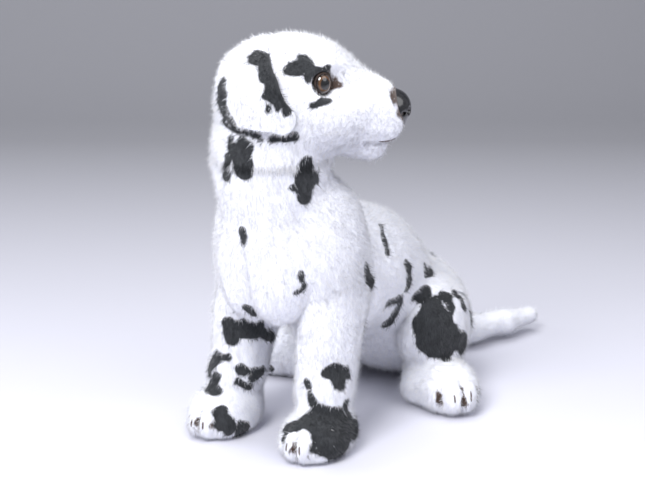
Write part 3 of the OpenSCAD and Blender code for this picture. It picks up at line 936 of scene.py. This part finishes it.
def pile(skin, name, per_mm2, length, nap, seed, bare=None):
    """Strands of pile planted on a skin: closed meshes of thin spikes, in parts of a fair size."""
    rng = np.random.default_rng(seed)
    quads = skin.faces
    tris = np.concatenate([quads[:, [0, 1, 2]], quads[:, [0, 2, 3]]])
    a, b, c = (skin.points[tris[:, k]] for k in range(3))
    area = size_of(np.cross(b - a, c - a)) / 2
    count = int(area.sum() * per_mm2)
    pick = rng.choice(len(tris), count, p=area / area.sum())
    u, v = rng.random((2, count, 1))
    over = u + v > 1
    u, v = np.where(over, 1 - u, u), np.where(over, 1 - v, v)
    root = a[pick] + u * (b - a)[pick] + v * (c - a)[pick]
    normal = unit(slope(skin.form, root))
    keep = root[:, 2] > FLOOR + 0.7
    if bare is not None:
        keep &= ~bare(root)
    root, normal = root[keep], normal[keep]
    count = len(root)
    flow = nap(root) + SWIRL * np.column_stack([wobble(root, 16, seed + k) for k in (1, 2, 3)])
    flow = flow - (flow * normal).sum(1)[:, None] * normal
    stray = rng.random(count) < STRAY_SHARE
    stand = np.where(stray, STAND, LIE)[:, None]
    way = unit(stand * normal + 0.9 * flow + rng.normal(0, TILT, (count, 3)))
    tall = length(root) * rng.uniform(*TALL, count) * np.where(stray, STRAY_TALL, 1)
    tip = root + way * tall[:, None]
    tip[:, 2] = np.maximum(tip[:, 2], FLOOR)
    side = unit(np.cross(way, rng.normal(size=(count, 3))))
    other = np.cross(way, side)
    thick = rng.uniform(*STRAND_R, count)[:, None]
    foot = root - ROOT * normal
    corners = [
        foot + thick * (math.cos(t) * side + math.sin(t) * other)
        for t in (0, math.tau / 3, 2 * math.tau / 3)
    ]
    points = np.stack([*corners, tip], 1)
    dye = rng.normal(0, DYE_AND_SHADE_BLUR, count)
    # strands on a black mark turn black: dyed spots, the line under the tail, and under the right ear
    # partly painted shadow
    dark = skin.spot_and_shade(root) + dye < 0
    tan = skin.brown(root) + BROWN_BLUR * dye < 0
    tone = rng.choice(len(WHITES), count, p=[0.5, 0.25, 0.25])
    first_black, first_brown = len(WHITES), len(WHITES + BLACKS)
    tone = np.where(tan, first_brown + rng.choice(len(BROWNS), count), tone)
    tone = np.where(dark, first_black + rng.choice(len(BLACKS), count, p=[0.7, 0.3]), tone)
    shade = skin.lean(unit(normal * upright(root) + rng.normal(0, SHADE_BLUR, (count, 3))))
    parts = math.ceil(count / PART_STRANDS)
    pieces = []
    for part in range(parts):
        some = points[part::parts]
        at = 4 * np.arange(len(some))[:, None, None]
        fur = make_mesh(
            f"{name}_{part + 1}", some.reshape(-1, 3), (at + SPIKE).reshape(-1, 3), skin.place,
            TONES, np.repeat(tone[part::parts], 4),
        )
        facing = np.repeat(shade[part::parts], 4, axis=0)
        fur.data.normals_split_custom_set_from_vertices([tuple(n) for n in facing])
        pieces.append(fur)
    return pieces


def upright(root):
    """Weights that keep strands at the neck joint shaded like the sides of the neck."""
    near = np.clip(2 - np.abs(root[:, 2] - NECK[2]), 0, 1)
    return np.column_stack([1 + 0 * near, 1 + 0 * near, 1 - near])


def constant(value):
    return lambda p: np.full(len(p), float(value))


def towards(x, y, z):
    return lambda p: np.tile(np.array([x, y, z], float), (len(p), 1))


def wadding(name, form, low, high, place=same, inset=3.5):
    """The stuffing, a little inside its skin."""
    points, faces = surface(lambda p: form(p) + inset, low, high, 5)
    return make_mesh(name, points, faces, place, [WADDING])


def settle(pieces, body, blend=None):
    """The pieces ride on a body, or, given a blend, stay unparented with their placement baked into the
    mesh.
    """
    for piece in pieces:
        if blend:
            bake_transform(piece)
        else:
            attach(piece, body)


def stuffed(part, key, form, box, step, coats, inset=3.5, blend=None, place=same, lean=same):
    """A skin, its coats of pile and its stuffing, in place of the two CAD solids of that part.

    step is the size of the skin's mesh, and inset how far the stuffing lies under the form.
    """
    low, high = box
    skin = Skin(f"{part}_plush", key, form, low, high, step, place, lean)
    fur = []
    for name, coat in coats.items():
        fur += pile(skin, f"{part}_{name}", **coat)
    stuffing = wadding(f"{part}_wadding", form, low, high, place, inset)
    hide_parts(f"{part}_skin")
    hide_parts(f"{part}_stuffing")
    settle([skin.piece, *fur], part, blend)
    settle([stuffing], part, blend)


def sew_toes(leg, node, form, gaps, middle, reach, rise, place, blend=None):
    """Short threads between the toes, on arcs about the paw's middle. rise is in degrees."""
    a = np.radians(np.linspace(*rise, 10))
    arcs = []
    for gap in gaps:
        across = np.full(len(a), middle[0] + 1.1 * gap)
        guess = [across, middle[1] - reach[0] * np.cos(a), middle[2] + reach[1] * np.sin(a)]
        arcs.append(on_surface(form, place(np.column_stack(guess))))
    toes = thread(f"{leg}_toe_thread", arcs, TOE_THREAD_R, THREAD)
    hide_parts(node)
    settle([toes], leg, blend)


# a front leg's bend line, in metres, handed on as blend; settle() reads none of its points
BEND_Y, BEND_TOP, BEND_LOW = -0.157, 0.135, 0.088


def side_box(side, low, high):
    """A box given on the left, on the given side."""
    ends = FLIPS[side](np.array([low, high], float))
    return ends.min(0), ends.max(0)


def in_torso(p):
    return torso_form(p) < -4


def build_torso():
    def hidden(p):
        q = folded(p)
        legs = np.minimum(front_leg_form(q), hind_leg_form(q)) < -4
        return legs | ((p[:, 2] > NECK[2] - 1.2) & (np.hypot(p[:, 0], p[:, 1] - NECK[1]) < NECK_R - 2))

    box = ((-68, -228, -4), (68, 72, NECK[2] + 10))
    coat = dict(per_mm2=1.1, length=constant(3.1), nap=towards(0, 0.35, -1), seed=101, bare=hidden)
    stuffed("torso", "torso", torso_form, box, 2.2, {"pile": coat})


def build_front_leg(side):
    leg, flip = f"front_leg_{side}", FLIPS[side]
    form = sided(front_leg_form, side)
    box = side_box(side, (12, -234, -4), (72, -118, 192))
    coat = dict(per_mm2=1.3, length=constant(3.1), nap=towards(0, -0.1, -1), seed=111, bare=in_torso)
    x = flip(SHOULDER)[0] * MM
    bend = ("torso", (x, BEND_Y, BEND_TOP), (x, BEND_Y, BEND_LOW))
    stuffed(leg, f"front_{side}", form, box, 2.0, {"pile": coat}, blend=bend)
    sew_toes(leg, f"front_toes_{side}", form, TOE_X, PAW_AT + [0, 0, 12], (40, 26), (-4, 22), flip, bend)


def build_hind_leg(side):
    leg = f"hind_leg_{side}"
    form = sided(hind_leg_form, side)
    box = side_box(side, (14, -100, -4), (112, 14, 100))
    coat = dict(per_mm2=1.3, length=constant(3.1), nap=towards(0, -0.2, -1), seed=121, bare=in_torso)
    stuffed(leg, f"hind_{side}", form, box, 2.0, {"pile": coat})

    def on_foot(p):
        return FLIPS[side](turned(p, math.radians(90 + FOOT_TURN)) + FOOT_AT)

    sew_toes(leg, f"hind_toes_{side}", form, HIND_TOE_X, (0, -10, 14), (34, 24), (2, 30), on_foot)


def build_tail():
    box = ((-8, 36, -4), (64, 158, 30))
    coat = dict(per_mm2=1.3, length=constant(3.2), nap=towards(0.4, 1, -0.1), seed=131, bare=in_torso)
    stuffed("tail", "tail", tail_form, box, 1.8, {"pile": coat}, inset=2.8)


def round_neck(p):
    """True on the head's collar, and False under the jaw."""
    return np.hypot(p[:, 0], p[:, 1]) < NECK_R + 2


def near_face(p):
    """Length of pile: shorter round the eyes and the nose, longer over the neck joint."""
    q = folded(p)
    eye = np.clip((ball(q, EYE_AT, EYE_R) - 1) / 10, 0, 1)
    nose = np.clip((size_of(q - NOSE_AT) - 13) / 24, 0, 1)
    collar = np.clip((NECK[2] + 8 - p[:, 2]) / 6, 0, 1) * round_neck(p)
    return 1.7 + 1.5 * np.minimum(eye, nose) + 2.0 * collar


def build_head():
    def hidden(p):
        eye = ball(folded(p), EYE_AT + EYE_OUT * 3, EYE_R + 0.8) < 0
        nose = nose_form(p) < 1.2
        under = (p[:, 2] < NECK[2] + 1.2) & (np.hypot(p[:, 0], p[:, 1]) < NECK_R - 2)
        return eye | nose | under

    def nap(p):
        low = np.clip((NECK[2] + 16 - p[:, 2]) / 12, 0, 1) * round_neck(p)
        fall = -0.45 - 0.01 * np.abs(p[:, 0]) - 0.7 * low
        return np.column_stack([0 * p[:, 0], 1 - 0.9 * low, fall])

    def off_collar(p):
        return ~round_neck(p) | (p[:, 2] > NECK[2] + 4.5) | (p[:, 2] < NECK[2] + 0.5)

    box = ((-50, -104, NECK[2] - 6), (50, 50, SKULL_Z + 46))
    coat = dict(per_mm2=1.5, length=near_face, nap=nap, seed=141, bare=hidden)
    collar = dict(per_mm2=4.0, length=constant(5.0), nap=towards(0, 0.1, -2.4), seed=145, bare=off_collar)
    coats = {"pile": coat, "collar_pile": collar}
    stuffed("head", "head", head_form, box, 1.8, coats, place=head_place, lean=head_lean)


def build_ear(side):
    ear = f"ear_{side}"
    outer, inner = sided(ear_outer, side), sided(ear_inner, side)

    def inside(p):
        return inner(p) < 0.3

    low, high = side_box(side, (2, -20, SKULL_Z - 38), (56, 46, SKULL_Z + 46))
    skin = Skin(f"{ear}_plush", ear, outer, low, high, 1.1, head_place, head_lean)
    lining = Skin(f"{ear}_lining_cloth", "lining", inner, low, high, 1.1, head_place, head_lean, LINING)
    fur = pile(skin, f"{ear}_pile", 1.6, constant(2.8), towards(0, 0.25, -1), 151, inside)
    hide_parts(f"{ear}_outer")
    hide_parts(f"{ear}_lining")
    x, y, z = JOINTS[f"{ear}_lift"]["pos_m"]
    bend = ("head", (x, y, z + 0.001), (x, y, z - 0.018))
    settle([skin.piece, *fur], ear, bend)
    settle([lining.piece], ear, bend)


# ---- eyes, nose and mouth ----

def lathe(profile, sides):
    """Points and faces of a closed turned form. The profile runs from the axis to the axis."""
    points = [(0, 0, profile[0][1])]
    for r, z in profile[1:-1]:
        for k in range(sides):
            a = math.tau * k / sides
            points.append((r * math.cos(a), r * math.sin(a), z))
    points.append((0, 0, profile[-1][1]))
    rings = len(profile) - 2
    faces = band(1, rings, sides)
    last = 1 + (rings - 1) * sides
    for k in range(sides):
        following = (k + 1) % sides
        faces.append((0, 1 + following, 1 + k))
        faces.append((last + k, last + following, len(points) - 1))
    return points, faces


def eye_frame(side):
    """A matrix whose Z looks out of the eye, in the CAD frame, in metres."""
    at = head_place(FLIPS[side](EYE_AT[None]))[0] * MM
    out = head_lean(FLIPS[side](EYE_OUT[None]))[0]
    turn = Vector(out).to_track_quat("Z", "Y").to_matrix().to_4x4()
    return Matrix.Translation(at) @ turn @ Matrix.Diagonal((EYE_OVAL, 1, 1, 1))


def build_eye(side):
    steps = 14
    dome = [(0, 5.2)]
    for i in range(1, steps + 1):
        a = math.pi / 2 * i / steps
        dome.append((EYE_R * math.sin(a), 0.6 + 4.6 * math.cos(a)))
    dome += [(EYE_R * 0.96, -0.4), (EYE_R * 0.5, -1.2), (0, -1.4)]
    points, faces = lathe([(r * MM, z * MM) for r, z in dome], 48)
    eye = smooth_piece(f"eye_{side}_glass", points, faces, EYE_GLASS)
    eye.matrix_world = eye_frame(side)
    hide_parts(f"eye_{side}")
    settle([eye], "head")

    turns, around = 40, 10
    up = np.array([0, 0, 1])
    rim_points = []
    for a in math.tau * np.arange(turns) / turns:
        fat = 0.85 + 0.3 * math.sin(a)
        centre = np.array([EYE_R * 1.02 * math.cos(a), EYE_R * 0.94 * math.sin(a), 1.2])
        out = np.array([math.cos(a), math.sin(a), 0])
        for b in math.tau * np.arange(around) / around:
            point = centre + fat * (math.cos(b) * out + math.sin(b) * up)
            rim_points.append(tuple(point * MM))
    rim_faces = [face[::-1] for face in band(0, turns, around, closed=True)]
    rim = smooth_piece(f"eye_{side}_rim", rim_points, rim_faces, RIM)
    rim.matrix_world = eye_frame(side)
    settle([rim], "head")


def nose_form(p):
    """The moulded nose, in the head's frame: a rounded wedge with two nostrils and a cleft."""
    q = folded(p) - NOSE_AT
    pad = blob(q, (0, 0, 0), (13.2, 12, 13))
    top = blob(q, (0, 4.5, 6), (11, 9, 7.5))
    low = blob(q, (0, 1.5, -9), (8.6, 9.6, 8))
    wing = blob(q, (7.4, 2.0, -2.5), (5.8, 7.6, 6.2))
    nose = join(3, pad, top, low, wing)
    hole = blob(q, (5.4, -10.8, -1.4), (3.0, 4.4, 2.8), turn=14)
    slit = blob(q, (10.4, -6.8, -2.6), (3.8, 2.2, 1.2), turn=-30)
    nose = cut(1.2, nose, -hole, -slit)
    cleft = ridge(q[:, 0], 0.7) * gate(q[:, 2], -30, -1, 1.5)
    return nose + 0.8 * cleft


def build_nose():
    low, high = NOSE_AT - [17, 16, 20], NOSE_AT + [17, 18, 19]
    points, faces = surface(nose_form, low, high, NOSE_STEP)
    nose = make_mesh("nose_moulded", points, faces, head_place, [NOSE])
    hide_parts("nose")
    settle([nose], "head")


def build_mouth():
    lines = []
    t = np.linspace(0.02, 1.35, 16)
    for side in (-1, 1):
        across = side * (1 + 15 * np.sin(t))
        guess = np.column_stack([across, -70 - 18 * np.cos(t), MOUTH_Z + 0.8 + 2.0 * np.sin(t) ** 2])
        lines.append(on_surface(head_form, guess))
    top = NOSE_AT[2] - 13
    guess = np.array([[0, -88, z] for z in np.linspace(MOUTH_Z + 1.5, top, 8)])
    lines.append(on_surface(head_form, guess))
    mouth = thread("mouth_stitch", lines, 0.8, THREAD, head_place)
    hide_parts("mouth_thread")
    settle([mouth], "head")


# ---- CAD pieces that show as they are ----

def dress_cad():
    for name, material in {
        "neck_washer": PLASTIC, "neck_disc": PLASTIC, "neck_lock": PLASTIC,
        "eye_washer_left": PLASTIC, "eye_washer_right": PLASTIC, "nose_washer": PLASTIC,
        "pellet_pouch": POUCH, "pellet_fill": BEADS,
    }.items():
        node = NODES[name]
        node.data.materials.clear()
        node.data.materials.append(material)


# ---- stage, in metres ----

SWEEP_START = 1.1           # where the floor starts to curve up
SWEEP_BEND = 0.7            # radius of that curve
VIEW_TURN = math.radians(33)
VIEW_RISE = math.radians(15.2)
VIEW_AWAY = 1.05
LOOK_AT = Vector((0.0336, -0.1663, 0.150))


def build_stage():
    """A pale sweep: a floor that curves up into a backdrop behind the dog. Its colour is painted light:
    brightest in a band just in front of the dog, with painted shade darkening it towards the camera and
    up the backdrop.
    """
    look = Look("studio_sweep")
    split = look.add("SeparateXYZ", "Y", {"Vector": look.where()})
    depth = look.add("MapRange", "Result", {"Value": split, "From Min": -1.45, "From Max": 0.95})
    # painted light and shade: bright in a band in front of the dog, darker towards the camera and up the
    # backdrop
    tone = look.ramp(depth, [
        (0.0, (0.26, 0.26, 0.28)), (0.30, (0.40, 0.40, 0.44)), (0.42, (0.74, 0.74, 0.82)),
        (0.70, (0.50, 0.50, 0.55)), (1.0, (0.29, 0.29, 0.31)),
    ])
    material = look.finish(0.7, Base_Color=tone)
    rows = [(-1.6, 0.0), (-0.4, 0.0), (0.6, 0.0), (SWEEP_START, 0.0)]
    for i in range(1, 13):
        a = math.pi / 2 * i / 12
        rows.append((SWEEP_START + SWEEP_BEND * math.sin(a), SWEEP_BEND * (1 - math.cos(a))))
    rows.append((SWEEP_START + SWEEP_BEND, 3.2))
    points = [(x, y, z) for y, z in rows for x in (-3.5, 3.5)]
    faces = [(2 * i, 2 * i + 1, 2 * i + 3, 2 * i + 2) for i in range(len(rows) - 1)]
    sweep = smooth_piece("studio_sweep", points, faces, material)
    sweep.rotation_euler = (0, 0, VIEW_TURN)


def build_camera():
    camera = bpy.data.cameras.new("camera")
    camera.lens = 83.7
    camera.sensor_width = 36
    camera.clip_start = 0.05
    item = in_scene(camera)
    back = Vector((
        math.sin(VIEW_TURN) * math.cos(VIEW_RISE),
        -math.cos(VIEW_TURN) * math.cos(VIEW_RISE),
        math.sin(VIEW_RISE),
    ))
    item.location = LOOK_AT + VIEW_AWAY * back
    item.rotation_euler = back.to_track_quat("Z", "Y").to_euler()
    bpy.context.scene.camera = item


def area_light(name, at, target, size, power, colour):
    light = bpy.data.lights.new(name, "AREA")
    light.shape = "DISK"
    light.size = size
    light.energy = power
    light.color = colour
    item = in_scene(light)
    item.location = at
    aim = Vector(at) - Vector(target)
    item.rotation_euler = aim.to_track_quat("Z", "Y").to_euler()


def build_lights():
    middle = (0, -0.1, 0.12)
    area_light("key", (0.1, -1.5, 1.5), middle, 1.0, 39, (1.0, 1.0, 1.0))
    area_light("top", (-0.2, 0.1, 1.7), middle, 1.2, 16, (0.95, 0.96, 1.0))
    area_light("fill", (-1.6, -0.9, 0.6), middle, 1.2, 9, (0.92, 0.94, 1.0))
    area_light("side", (1.3, -0.3, 1.3), middle, 1.5, 12, (0.98, 0.98, 1.0))
    world = bpy.data.worlds.new("studio")
    world.use_nodes = True
    sky = world.node_tree.nodes["Background"]
    sky.inputs["Color"].default_value = (0.80, 0.82, 0.92, 1)
    sky.inputs["Strength"].default_value = 0.46
    bpy.context.scene.world = world
    bpy.context.scene.view_settings.view_transform = "Standard"


build_camera()
build_lights()
build_stage()
build_torso()
for side in FLIPS:
    build_front_leg(side)
    build_hind_leg(side)
    build_ear(side)
    build_eye(side)
build_tail()
build_head()
build_nose()
build_mouth()
dress_cad()
